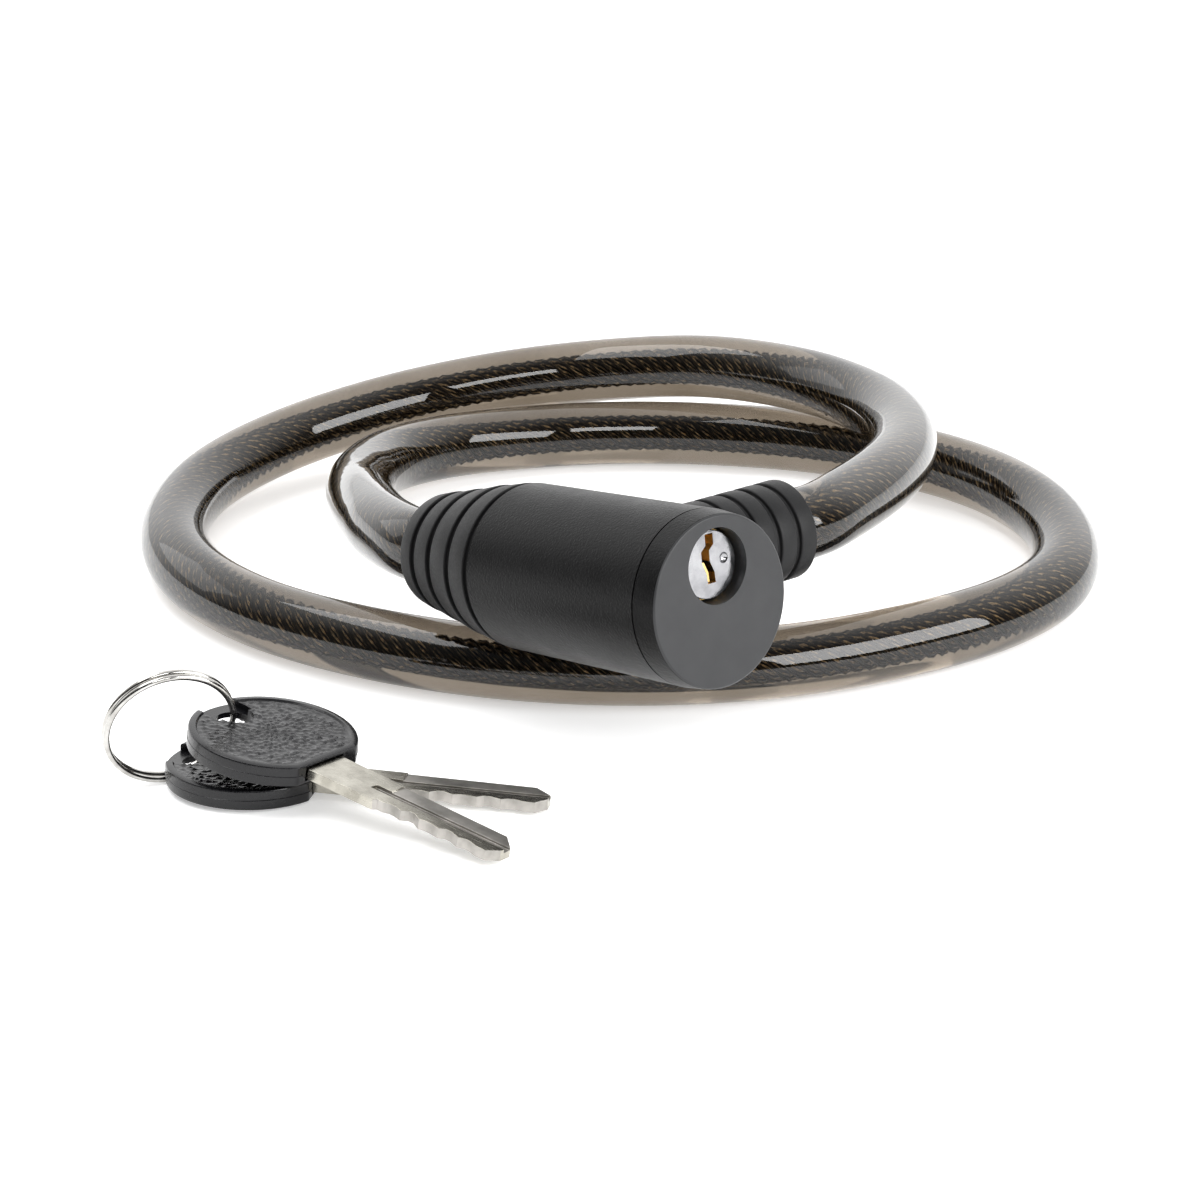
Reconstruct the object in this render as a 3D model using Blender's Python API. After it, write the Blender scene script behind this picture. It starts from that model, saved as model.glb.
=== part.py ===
"""Keyed cable lock: a round lock body with a ribbed cable end, a plug that enters its side, the
looped cable between them, and two keys on a split ring. Metres, +Z up, the cable on z = 0."""

import math

import bmesh
import bpy
from mathutils import Matrix, Vector

MM = 0.001
GAP = 0.3 * MM  # clearance between neighbouring pieces
OVERCUT = 1.0 * MM  # how far a cutter runs past the face that it opens

# Where the pieces stand, relative to the middle of the lock body and keys.
SITE = Vector((24.0, 79.17, 0.0)) * MM
LOCK_TURN = math.radians(41.2)
LOCK_TILT = math.radians(7.1)

# Cable
CABLE_R = 6.0 * MM
CABLE_REST = CABLE_R + 0.1 * MM
CABLE_STEP = 11.6 * MM
CABLE_LEAD = 7.0 * MM  # the cable runs this far straight out of a socket
CABLE_SIDES = 12

# Lock body, measured from the key face back along its axis
CAP_LENGTH = 4.4 * MM
SPIGOT_LENGTH = 2.0 * MM
BODY_R = 13.72 * MM
CAP_R = BODY_R + 0.04 * MM
CAP_FACE_R = BODY_R - 0.32 * MM
BODY_BACK_R = BODY_R - 0.42 * MM
BODY_LENGTH = 44.2 * MM
BODY_RISE = 2 * CABLE_R + BODY_R + 6.18 * MM  # the body lies across the cable's front run
KEY_FACE_AT = SITE + Vector((18.1 * MM, -93.4 * MM, BODY_RISE))
BODY_WALL = 1.2 * MM
HOUSING_END = BODY_LENGTH - 2.8 * MM
BOOT_LENGTH = 22.1 * MM
BOOT_GROOVES = ((0.3, 0.1), (6.0, 1.0), (12.3, 2.3), (17.6, 3.3))  # place, step in from the body (mm)
BOOT_END_R = CABLE_R + 3.2 * MM
BOOT_GROOVE_DEPTH = 0.8 * MM
GROOVE_WIDTH = 1.0 * MM

# Ferrule on the cable's fixed end
FERRULE_WALL = 0.8 * MM
FERRULE_FLANGE_R = CABLE_R + 3.0 * MM
FERRULE_FLANGE = 2.5 * MM
FERRULE_START = BODY_LENGTH - 8.2 * MM
FERRULE_LENGTH = 16.0 * MM
FERRULE_FLOOR = 3.5 * MM
CROSS_PIN_R = 0.8 * MM

# Lock cylinder
CYLINDER_RISE = 5.5 * MM
CYLINDER_FACE_R = 5.3 * MM
KEYHOLE_R = CYLINDER_FACE_R + 0.6 * MM
FACE_RECESS = 1.8 * MM
ROTOR_R = CYLINDER_FACE_R - 0.7 * MM
ROTOR_HEAD = 1.4 * MM
ROTOR_END = 19.6 * MM
TAIL_R = 3.0 * MM
TAIL_NECK_R = 2.3 * MM
TAIL_END = 22.0 * MM
CLIP_LENGTH = 0.5 * MM
CRANK_R = 2.0 * MM
CRANK_PIN_R = 0.9 * MM
CRANK_PIN_LENGTH = 1.9 * MM
CRANK_START = math.radians(45)
KEYWAY_WIDTH = 1.6 * MM
KEYWAY_END = 18.6 * MM
KEYWAY_BENDS = ((0.25, 4.75), (0.25, 3.0), (-0.7, 2.2), (-0.7, 0.5), (0.1, -1.3), (0.2, -2.9))  # mm
WAFERS = 5
WAFER_PITCH = 2.8 * MM
WAFER_FIRST = 6.0 * MM
WAFER_LENGTH = 0.7 * MM
WAFER_UNIT = ROTOR_R / 4.6  # the wafers and springs keep their proportion to the rotor
WAFER_WIDTH = 5.0 * WAFER_UNIT
WAFER_HEIGHT = 7.4 * WAFER_UNIT
WAFER_NOTCH = 1.25 * WAFER_UNIT
WAFER_LUG_DROP = 1.9 * WAFER_UNIT
SPRING_R = 0.35 * WAFER_UNIT
SPRING_WIRE_R = 0.1 * WAFER_UNIT
SPRING_TURNS = 3

# Locking slider and the bolt that it holds
SLIDER_LENGTH = 2.2 * MM
SLIDER_SIDE = 1.2 * MM
TONGUE_WIDTH = 2.4 * MM
TONGUE_HEIGHT = 3.3 * MM
BOLT_DEPTH = 30.0 * MM
TONGUE_END = BOLT_DEPTH + 2.0 * MM
NECK_CLEARANCE = 0.4 * MM
BOLT_DROP = 0.9 * MM
BOLT_R = 4.5 * MM
BOLT_NECK_R = BOLT_R - 1.5 * MM
BOLT_TIP = 8.0 * MM
PLUG_START = BODY_R + 0.48 * MM
PLUG_END = PLUG_START + 27.0 * MM
PLUG_R = CABLE_R + 2.2 * MM
PLUG_COLLAR = 4.4 * MM
PLUG_PITCH = 4.3 * MM
PLUG_GROOVES = 4
PLUG_GROOVE_DEPTH = 0.6 * MM
PLUG_LIP = 0.7 * MM
SOCKET_WALL = 0.5 * MM
SOCKET_END = PLUG_START + 19.8 * MM
SOCKET_FLOOR = PLUG_START + 5.8 * MM

# Keys and ring
HEAD_R = 13.1 * MM
HEAD_FLAT = 11.3 * MM
HEAD_THICK = 3.3 * MM
HEAD_RIM = 1.1 * MM
HEAD_SINK = 0.25 * MM
EYE_R = 2.9 * MM
EYE_AT = 8.0 * MM
EYE_NOTCH = 1.2 * MM
EYE_NOTCH_HALF = EYE_R + 0.9 * MM
BLADE_THICK = 1.7 * MM
BLADE_LENGTH = 47.6 * MM
BLADE_TANG = 6.5 * MM
BLADE_BACK = 3.2 * MM
BLADE_ROOT = 4.6 * MM
BLADE_EDGE = 4.0 * MM
BLADE_SHOULDER = BLADE_LENGTH - 23.2 * MM
KEY_CUTS = ((20.0, 0.4), (16.6, 0.9), (13.0, 0.3), (9.2, 0.7), (5.4, 0.5))  # from the tip, depth (mm)
RING_R = 10.0 * MM
RING_WIRE_R = 0.5 * MM
RING_PITCH = 1.15 * MM


def clear_scene():
    for obj in list(bpy.data.objects):
        bpy.data.objects.remove(obj, do_unlink=True)


def material(name, color, roughness, metallic=0.0):
    made = bpy.data.materials.new(name)
    made.use_nodes = True
    shader = made.node_tree.nodes["Principled BSDF"]
    shader.inputs["Base Color"].default_value = (*color, 1.0)
    shader.inputs["Roughness"].default_value = roughness
    shader.inputs["Metallic"].default_value = metallic
    return made


def put(name, data, parent, look):
    """A new object under its parent empty, with one material."""
    obj = bpy.data.objects.new(name, data)
    bpy.context.scene.collection.objects.link(obj)
    obj.parent = parent
    if look:
        data.materials.append(look)
    return obj


def empty(name, parent, place, turn=(0.0, 0.0, 0.0)):
    obj = bpy.data.objects.new(name, None)
    bpy.context.scene.collection.objects.link(obj)
    obj.parent = parent
    obj.location = place
    obj.rotation_euler = turn
    return obj


def finish(bm, name):
    """The bmesh as a closed mesh with its faces outwards and round parts smooth."""
    bmesh.ops.remove_doubles(bm, verts=bm.verts, dist=1e-7)
    bmesh.ops.recalc_face_normals(bm, faces=bm.faces)
    mesh = bpy.data.meshes.new(name)
    bm.to_mesh(mesh)
    bm.free()
    mesh.shade_smooth()
    mesh.set_sharp_from_angle(angle=math.radians(35))
    return mesh


def turned(name, outline, steps=48):
    """A mesh turned about local Z from (radius, height) points. A bored piece's outline is a loop."""
    bm = bmesh.new()
    verts = [bm.verts.new((radius, 0.0, height)) for radius, height in outline]
    edges = [bm.edges.new(pair) for pair in zip(verts, verts[1:])]
    if outline[0][0] > 0:
        edges.append(bm.edges.new((verts[-1], verts[0])))
    bmesh.ops.spin(
        bm,
        geom=verts + edges,
        cent=(0, 0, 0),
        axis=(0, 0, 1),
        angle=2 * math.pi,
        steps=steps,
        use_merge=True,
    )
    return finish(bm, name)


def plate(name, outline, low, high):
    """A flat outline in local X and Y, extruded between two heights."""
    bm = bmesh.new()
    face = bm.faces.new([bm.verts.new((x, y, low)) for x, y in outline])
    raised = bmesh.ops.extrude_face_region(bm, geom=[face])["geom"]
    top = [item for item in raised if isinstance(item, bmesh.types.BMVert)]
    bmesh.ops.translate(bm, verts=top, vec=(0, 0, high - low))
    return finish(bm, name)


def box_outline(left, right, bottom, top):
    return [(left, bottom), (right, bottom), (right, top), (left, top)]


def disc_outline(radius, centre=(0.0, 0.0), steps=32):
    angles = [2 * math.pi * i / steps for i in range(steps)]
    return [(centre[0] + radius * math.cos(a), centre[1] + radius * math.sin(a)) for a in angles]


def cut(obj, mesh, parent, place=(0.0, 0.0, 0.0), turn=(0.0, 0.0, 0.0), how="DIFFERENCE"):
    """A Boolean with a hidden cutter that stands under the given empty."""
    cutter = put(obj.name + "_" + mesh.name, mesh, parent, None)
    cutter.location = place
    cutter.rotation_euler = turn
    cutter.hide_render = True
    cutter.display_type = "WIRE"
    boolean = obj.modifiers.new(mesh.name, "BOOLEAN")
    boolean.operation = how
    boolean.solver = "EXACT"
    boolean.object = cutter
    return cutter


def coil_curve(name, points, radius, sides, look, parent):
    """A round wire or cord through the points, with closed ends."""
    curve = bpy.data.curves.new(name, "CURVE")
    curve.dimensions = "3D"
    curve.bevel_depth = radius
    curve.bevel_resolution = sides // 2 - 2
    curve.use_fill_caps = True
    spline = curve.splines.new("POLY")
    spline.points.add(len(points) - 1)
    for spot, point in zip(spline.points, points):
        spot.co = (*point, 1.0)
    return put(name, curve, parent, look)


def smooth_route(points, step):
    """Points at an even step along a centripetal Catmull-Rom curve through the route."""
    ends = [2 * points[0] - points[1], *points, 2 * points[-1] - points[-2]]
    fine = []
    for a, b, c, d in zip(ends, ends[1:], ends[2:], ends[3:]):
        t1 = (b - a).length ** 0.5
        t2 = t1 + (c - b).length ** 0.5
        t3 = t2 + (d - c).length ** 0.5
        for i in range(24):
            t = t1 + (t2 - t1) * i / 24
            ab = a.lerp(b, t / t1)
            bc = b.lerp(c, (t - t1) / (t2 - t1))
            cd = c.lerp(d, (t - t2) / (t3 - t2))
            abc = ab.lerp(bc, t / t2)
            bcd = bc.lerp(cd, (t - t1) / (t3 - t1))
            fine.append(abc.lerp(bcd, (t - t1) / (t2 - t1)))
    fine.append(points[-1])
    total = sum((q - p).length for p, q in zip(fine, fine[1:]))
    count = round(total / step)
    even = [fine[0]]
    run = 0.0
    for p, q in zip(fine, fine[1:]):
        length = (q - p).length
        while len(even) < count and run + length >= total * len(even) / count:
            even.append(p.lerp(q, (total * len(even) / count - run) / length))
        run += length
    return even + [points[-1]]


def ribbed(grooves, width, depth, end_place, end_radius):
    """Outer (radius, place) points of a boot. Each groove is (place, radius of the rib after it)."""
    points = []
    for place, radius in grooves:
        floor = radius - depth
        points += [(radius, place), (floor, place), (floor, place + width), (radius, place + width)]
    return points[1:] + [(end_radius, end_place)]


clear_scene()

BLACK_RUBBER = material("black rubber", (0.018, 0.018, 0.018), 0.55)
BARREL_PAINT = material("barrel paint", (0.028, 0.028, 0.029), 0.5)
CAP_PLASTIC = material("cap plastic", (0.13, 0.135, 0.14), 0.42)
ZINC = material("zinc casting", (0.42, 0.43, 0.45), 0.45, 1.0)
CHROME = material("bright chrome", (0.8, 0.8, 0.8), 0.12, 1.0)
BRASS = material("brass", (0.72, 0.53, 0.24), 0.3, 1.0)
STEEL = material("steel", (0.6, 0.6, 0.61), 0.28, 1.0)
SPRING_STEEL = material("spring steel", (0.5, 0.5, 0.52), 0.25, 1.0)
SMOKED_PVC = material("smoked cable sheath", (0.07, 0.064, 0.058), 0.12)
KEY_PLASTIC = material("key head plastic", (0.025, 0.025, 0.026), 0.5)
NICKEL = material("nickel silver", (0.7, 0.69, 0.65), 0.25, 1.0)

lock = empty("lock_axis", None, KEY_FACE_AT, (math.pi / 2 - LOCK_TILT, 0.0, LOCK_TURN))
cylinder = empty("cylinder_axis", lock, (0.0, CYLINDER_RISE, 0.0))
bolt = empty("bolt_axis", lock, (0.0, -BOLT_DROP, -BOLT_DEPTH), (0.0, math.pi / 2, 0.0))


def behind(outline):
    """(radius, depth) points as (radius, local Z), which runs out of the key face."""
    return [(radius, -depth) for radius, depth in outline]


# Shared sizes that follow from the ones above
BORE_R = BODY_BACK_R - BODY_WALL
INNER_R = BORE_R - GAP
HOUSING_START = CAP_LENGTH + SPIGOT_LENGTH + GAP
STATOR_R = KEYHOLE_R - GAP
CABLE_BORE = CABLE_R + GAP
CHAMBER_START = TAIL_END
SLIDER_START = TAIL_END + GAP
CRANK_AT = (
    CRANK_R * math.cos(CRANK_START),
    CYLINDER_RISE + CRANK_R * math.sin(CRANK_START),
)
SLIDER_TRAVEL = 2 * CRANK_R * math.sin(CRANK_START)
TONGUE_FOOT = BOLT_NECK_R - BOLT_DROP + NECK_CLEARANCE + SLIDER_TRAVEL


def build_body():
    """Barrel, cap at the key end and the cast housing inside."""
    barrel_outline = [
        (BORE_R, CAP_LENGTH + GAP),
        (BODY_R, CAP_LENGTH + GAP),
        (BODY_BACK_R, BODY_LENGTH),
        (BORE_R, BODY_LENGTH),
    ]
    shell = turned("barrel_shell", behind(barrel_outline), 64)
    barrel = put("barrel_shell", shell, lock, BARREL_PAINT)
    side_hole_outline = [
        (0, INNER_R / 2),
        (BOLT_R + GAP, INNER_R / 2),
        (BOLT_R + GAP, CAP_R + OVERCUT),
        (0, CAP_R + OVERCUT),
    ]
    side_hole = turned("plug_hole", side_hole_outline, 32)
    cut(barrel, side_hole, bolt)

    cap_outline = [
        (0, 0),
        (CAP_FACE_R - 0.3 * MM, 0),
        (CAP_FACE_R, 0.3 * MM),
        (CAP_R, CAP_LENGTH),
        (INNER_R, CAP_LENGTH),
        (INNER_R, CAP_LENGTH + SPIGOT_LENGTH),
        (0, CAP_LENGTH + SPIGOT_LENGTH),
    ]
    cap = put("key_end_cap", turned("key_end_cap", behind(cap_outline), 64), lock, CAP_PLASTIC)
    hole = plate("keyhole", disc_outline(KEYHOLE_R, steps=40), -HOUSING_START - OVERCUT, OVERCUT)
    cut(cap, hole, cylinder)

    pocket_r = FERRULE_FLANGE_R + GAP
    pocket_start = FERRULE_START - GAP
    housing_outline = [
        (0, HOUSING_START),
        (INNER_R, HOUSING_START),
        (INNER_R, HOUSING_END),
        (pocket_r, HOUSING_END),
        (pocket_r, pocket_start),
        (0, pocket_start),
    ]
    housing = put("lock_housing", turned("lock_housing", behind(housing_outline), 48), lock, ZINC)
    stator_bore = plate(
        "stator_bore",
        disc_outline(KEYHOLE_R, steps=32),
        -CHAMBER_START,
        OVERCUT - HOUSING_START,
    )
    cut(housing, stator_bore, cylinder)
    left, right, foot, head = slider_sides()
    chamber = plate(
        "slider_chamber",
        box_outline(left - GAP, right + GAP, foot - SLIDER_TRAVEL - GAP, head + GAP),
        -(SLIDER_START + SLIDER_LENGTH + GAP),
        -CHAMBER_START + OVERCUT,
    )
    cut(housing, chamber, lock)
    tongue_path = plate(
        "tongue_path",
        box_outline(
            -TONGUE_WIDTH / 2 - GAP,
            TONGUE_WIDTH / 2 + GAP,
            TONGUE_FOOT - SLIDER_TRAVEL - OVERCUT,
            TONGUE_FOOT + TONGUE_HEIGHT + GAP,
        ),
        -TONGUE_END - GAP,
        -SLIDER_START - OVERCUT,
    )
    cut(housing, tongue_path, lock)
    bolt_bore_outline = [
        (0, -BOLT_TIP - GAP),
        (BOLT_R + GAP, -BOLT_TIP - GAP),
        (BOLT_R + GAP, INNER_R + OVERCUT),
        (0, INNER_R + OVERCUT),
    ]
    cut(housing, turned("bolt_bore", bolt_bore_outline, 32), bolt)
    pin_hole = cross_hole("housing_pin_hole", INNER_R + OVERCUT)
    cut(housing, pin_hole, lock, cross_pin_place(), cross_turn())


def slider_sides():
    """Left, right, lower and upper sides of the slider's plate when it is up, clear of the bolt."""
    slot_half = CRANK_PIN_R + GAP
    left = CRANK_AT[0] - slot_half - GAP - 2 * SLIDER_SIDE
    right = CRANK_R + slot_half + SLIDER_SIDE
    foot = CRANK_AT[1] - slot_half - SLIDER_SIDE
    head = CRANK_AT[1] + slot_half + SLIDER_SIDE
    return left, right, foot, head


def cross_pin_place():
    return (0.0, 0.0, -FERRULE_START - FERRULE_FLANGE / 2)


def cross_turn():
    return (0.0, math.pi / 2, 0.0)


def cross_hole(name, reach):
    return plate(name, disc_outline(CROSS_PIN_R + GAP, steps=16), -reach, reach)


def build_cable_end():
    """Ribbed rubber boot, crimped ferrule and its cross pin at the cable end of the body."""
    boot_end = BODY_LENGTH + BOOT_LENGTH
    grooves = [(BODY_LENGTH + place * MM, BODY_BACK_R - step * MM) for place, step in BOOT_GROOVES]
    ferrule_r = CABLE_BORE + FERRULE_WALL
    ferrule_end = FERRULE_START + FERRULE_LENGTH
    boot_outline = [
        (ferrule_r + GAP, HOUSING_END + GAP),
        (INNER_R, HOUSING_END + GAP),
        (INNER_R, grooves[0][0]),
        *ribbed(grooves, GROOVE_WIDTH, BOOT_GROOVE_DEPTH, boot_end, BOOT_END_R),
        (CABLE_BORE, boot_end),
        (CABLE_BORE, ferrule_end + GAP),
        (ferrule_r + GAP, ferrule_end + GAP),
    ]
    put("body_boot", turned("body_boot", behind(boot_outline), 56), lock, BLACK_RUBBER)
    ferrule_outline = [
        (0, FERRULE_START),
        (FERRULE_FLANGE_R, FERRULE_START),
        (FERRULE_FLANGE_R, FERRULE_START + FERRULE_FLANGE),
        (ferrule_r, FERRULE_START + FERRULE_FLANGE),
        (ferrule_r, ferrule_end),
        (CABLE_BORE, ferrule_end),
        (CABLE_BORE, FERRULE_START + FERRULE_FLOOR),
        (0, FERRULE_START + FERRULE_FLOOR),
    ]
    ferrule = put("body_ferrule", turned("body_ferrule", behind(ferrule_outline), 32), lock, STEEL)
    pin_hole = cross_hole("ferrule_pin_hole", FERRULE_FLANGE_R + OVERCUT)
    cut(ferrule, pin_hole, lock, cross_pin_place(), cross_turn())
    pin = put("ferrule_pin", cross_pin_mesh(), lock, STEEL)
    pin.location = cross_pin_place()
    pin.rotation_euler = cross_turn()


def cross_pin_mesh():
    reach = INNER_R - GAP
    return plate("ferrule_pin", disc_outline(CROSS_PIN_R, steps=16), -reach, reach)


def keyway_outline():
    half = KEYWAY_WIDTH / 2
    right = [(x * MM + half, y * MM) for x, y in KEYWAY_BENDS]
    left = [(x * MM - half, y * MM) for x, y in reversed(KEYWAY_BENDS)]
    return right + left


def wafer_places():
    return [WAFER_FIRST + index * WAFER_PITCH for index in range(WAFERS)]


def build_cylinder():
    """Rotor with its keyway, wafers, springs, clip and crank pin, in a fixed sleeve."""
    head_end = FACE_RECESS + ROTOR_HEAD
    neck_start = ROTOR_END + 0.6 * MM
    neck_end = neck_start + CLIP_LENGTH + 2 * GAP
    rotor_outline = [
        (0, FACE_RECESS),
        (CYLINDER_FACE_R - 0.2 * MM, FACE_RECESS),
        (CYLINDER_FACE_R, FACE_RECESS + 0.2 * MM),
        (CYLINDER_FACE_R, head_end),
        (ROTOR_R, head_end),
        (ROTOR_R, ROTOR_END),
        (TAIL_R, ROTOR_END),
        (TAIL_R, neck_start),
        (TAIL_NECK_R, neck_start),
        (TAIL_NECK_R, neck_end),
        (TAIL_R, neck_end),
        (TAIL_R, TAIL_END),
        (0, TAIL_END),
    ]
    rotor = put("cylinder_rotor", turned("cylinder_rotor", behind(rotor_outline), 40), cylinder, CHROME)
    keyway = plate("keyway", keyway_outline(), -KEYWAY_END, OVERCUT - FACE_RECESS)
    cut(rotor, keyway, cylinder)
    slot_width = WAFER_WIDTH + 2 * GAP
    slot_reach = ROTOR_R + OVERCUT
    for index, place in enumerate(wafer_places()):
        half = WAFER_LENGTH / 2 + GAP
        slot = plate(
            f"slot_{index + 1}",
            box_outline(-slot_width / 2, slot_width / 2, -slot_reach, slot_reach),
            -place - half,
            -place + half,
        )
        cut(rotor, slot, cylinder)
    crank = plate(
        "crank_pin",
        disc_outline(CRANK_PIN_R, (CRANK_AT[0], CRANK_AT[1] - CYLINDER_RISE), 16),
        -TAIL_END - CRANK_PIN_LENGTH,
        -TAIL_END + GAP,
    )
    cut(rotor, crank, cylinder, how="UNION")

    sleeve_outline = [
        (ROTOR_R + GAP, head_end + GAP),
        (STATOR_R, head_end + GAP),
        (STATOR_R, ROTOR_END + GAP),
        (ROTOR_R + GAP, ROTOR_END + GAP),
    ]
    put("cylinder_sleeve", turned("cylinder_sleeve", behind(sleeve_outline), 40), cylinder, BRASS)
    clip_start = neck_start + GAP
    clip = plate("rotor_clip", clip_outline(), -clip_start - CLIP_LENGTH, -clip_start)
    put("rotor_clip", clip, cylinder, SPRING_STEEL)
    for index, place in enumerate(wafer_places()):
        build_wafer(index + 1, place)


def clip_outline():
    """An open ring that snaps into the rotor's neck."""
    opening = math.radians(30)
    steps = 20
    angles = [opening + (2 * math.pi - 2 * opening) * i / steps for i in range(steps + 1)]
    outer_r = STATOR_R - GAP / 3
    inner_r = TAIL_NECK_R + GAP
    outer = [(outer_r * math.cos(a), outer_r * math.sin(a)) for a in angles]
    inner = [(inner_r * math.cos(a), inner_r * math.sin(a)) for a in reversed(angles)]
    return outer + inner


def build_wafer(number, place):
    """One flat wafer with its window, and the small spring under its lug."""
    half_width = WAFER_WIDTH / 2
    half_height = WAFER_HEIGHT / 2
    outline = [
        (-half_width, -half_height),
        (WAFER_NOTCH, -half_height),
        (WAFER_NOTCH, -WAFER_LUG_DROP),
        (half_width, -WAFER_LUG_DROP),
        (half_width, half_height),
        (-half_width, half_height),
    ]
    low = -place - WAFER_LENGTH / 2
    body = plate(f"wafer_{number}", outline, low, low + WAFER_LENGTH)
    wafer = put(f"wafer_{number}", body, cylinder, BRASS)
    shift = 0.3 * MM * (number % 3 - 1)
    window = plate(
        f"window_{number}",
        box_outline(
            0.3 * WAFER_UNIT - WAFER_NOTCH,
            WAFER_NOTCH - 0.5 * WAFER_UNIT,
            shift - 2.4 * WAFER_UNIT,
            shift + 2.8 * WAFER_UNIT,
        ),
        low - OVERCUT,
        low + WAFER_LENGTH + OVERCUT,
    )
    cut(wafer, window, cylinder)
    top = -WAFER_LUG_DROP - SPRING_WIRE_R - GAP / 2
    bottom = -half_height + SPRING_WIRE_R
    centre = (WAFER_NOTCH + half_width) / 2
    points = []
    for i in range(SPRING_TURNS * 10 + 1):
        angle = 2 * math.pi * i / 10
        height = bottom + (top - bottom) * i / (SPRING_TURNS * 10)
        across, along = SPRING_R * math.cos(angle), SPRING_R * math.sin(angle)
        points.append(Vector((centre + across, height, along - place)))
    coil_curve(f"wafer_spring_{number}", points, SPRING_WIRE_R, 4, SPRING_STEEL, cylinder)


def build_slider():
    """Plate with the crank's slot, and the tongue that drops into the bolt's neck."""
    left, right, foot, head = slider_sides()
    back = -SLIDER_START - SLIDER_LENGTH
    body = plate("locking_slider", box_outline(left, right, foot, head), back, -SLIDER_START)
    slider = put("locking_slider", body, lock, STEEL)
    slot_half = CRANK_PIN_R + GAP + 0.1 * MM
    slot = plate(
        "crank_slot",
        box_outline(
            CRANK_AT[0] - slot_half - GAP,
            CRANK_R + slot_half,
            CRANK_AT[1] - slot_half,
            CRANK_AT[1] + slot_half,
        ),
        back - OVERCUT,
        -SLIDER_START + OVERCUT,
    )
    cut(slider, slot, lock)
    tongue = plate(
        "tongue",
        box_outline(-TONGUE_WIDTH / 2, TONGUE_WIDTH / 2, TONGUE_FOOT, TONGUE_FOOT + TONGUE_HEIGHT),
        -TONGUE_END,
        back + GAP,
    )
    cut(slider, tongue, lock, how="UNION")


def build_plug():
    """Steel bolt with its locking neck and cable socket, under a ribbed rubber boot."""
    neck_half = TONGUE_WIDTH / 2 + GAP
    socket_r = CABLE_BORE + SOCKET_WALL
    shoulder = PLUG_START + PLUG_LIP + GAP
    bolt_outline = [
        (0, -BOLT_TIP),
        (BOLT_R - 1.3 * MM, -BOLT_TIP),
        (BOLT_R, 1.5 * MM - BOLT_TIP),
        (BOLT_R, -neck_half),
        (BOLT_NECK_R, -neck_half),
        (BOLT_NECK_R, neck_half),
        (BOLT_R, neck_half),
        (BOLT_R, shoulder),
        (socket_r, shoulder),
        (socket_r, SOCKET_END),
        (CABLE_BORE, SOCKET_END),
        (CABLE_BORE, SOCKET_FLOOR),
        (0, SOCKET_FLOOR),
    ]
    put("plug_bolt", turned("plug_bolt", bolt_outline, 40), bolt, STEEL)
    last_groove = PLUG_END - PLUG_COLLAR
    grooves = [(last_groove - PLUG_PITCH * i, PLUG_R) for i in reversed(range(PLUG_GROOVES))]
    boot_outline = [
        (BOLT_R + GAP, PLUG_START),
        (PLUG_R - 0.6 * MM, PLUG_START),
        (PLUG_R, PLUG_START + 0.6 * MM),
        (PLUG_R, grooves[0][0]),
        *ribbed(grooves, GROOVE_WIDTH, PLUG_GROOVE_DEPTH, PLUG_END, PLUG_R),
        (CABLE_BORE, PLUG_END),
        (CABLE_BORE, SOCKET_END + GAP),
        (socket_r + GAP, SOCKET_END + GAP),
        (socket_r + GAP, PLUG_START + PLUG_LIP),
        (BOLT_R + GAP, PLUG_START + PLUG_LIP),
    ]
    put("plug_boot", turned("plug_boot", boot_outline, 48), bolt, BLACK_RUBBER)


def cable_route():
    """The cable's middle line, from its socket in the body to the one in the plug."""
    lock_frame = lock_matrix()
    bolt_frame = lock_frame @ bolt.matrix_basis
    rest = CABLE_REST / MM
    free = [
        (-29.6, -38.4, 22.9),
        (-35.3, -24.5, 20.6),
        (-38.7, -9.0, 18.0),
        (-41.2, 7.0, 15.2),
        (-42.9, 24.0, 12.2),
        (-42.6, 41.0, 9.8),
        (-38.4, 57.0, 8.0),
        (-28.8, 69.4, 6.8),
        (-14.5, 77.4, rest),
        (2.0, 80.6, rest),
        (20.0, 80.0, rest),
        (40.0, 75.0, rest),
        (58.0, 65.0, rest),
        (71.2, 50.5, rest),
        (79.6, 31.0, rest),
        (81.6, 9.5, rest),
        (77.6, -9.2, rest),
        (67.0, -25.2, rest),
        (48.3, -39.6, rest),
        (28.0, -48.7, rest),
        (6.0, -52.0, rest),
        (-16.0, -49.0, rest),
        (-38.3, -39.3, rest),
        (-57.7, -23.6, rest),
        (-70.8, -2.6, rest),
        (-75.7, 21.7, rest),
        (-72.0, 47.0, 6.8),
        (-60.0, 67.0, 8.4),
        (-42.0, 80.5, 11.0),
        (-22.0, 87.0, 13.8),
        (0.0, 88.4, 16.3),
        (20.0, 83.4, 18.5),
        (37.5, 70.5, 19.7),
        (49.3, 50.0, 21.0),
        (53.4, 28.0, 22.7),
        (52.0, 6.0, 24.4),
        (47.3, -13.0, 26.0),
        (40.5, -29.5, 27.0),
    ]
    boot_end = BODY_LENGTH + BOOT_LENGTH
    depths = (FERRULE_START + FERRULE_FLOOR + GAP, boot_end - 14 * MM, boot_end, boot_end + CABLE_LEAD)
    start = [lock_frame @ Vector((0, 0, -depth)) for depth in depths]
    reaches = (PLUG_END + CABLE_LEAD, PLUG_END, PLUG_END - 8 * MM, SOCKET_FLOOR + GAP)
    end = [bolt_frame @ Vector((0, 0, reach)) for reach in reaches]
    loop = [SITE + Vector(point) * MM for point in free]
    while -(lock_frame.inverted() @ loop[0]).z < boot_end + 2 * CABLE_LEAD:
        loop.pop(0)
    while (bolt_frame.inverted() @ loop[-1]).z < PLUG_END + 2 * CABLE_LEAD:
        loop.pop()
    return start + loop + end


def lock_matrix():
    return Matrix.Translation(lock.location) @ lock.rotation_euler.to_matrix().to_4x4()


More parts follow.
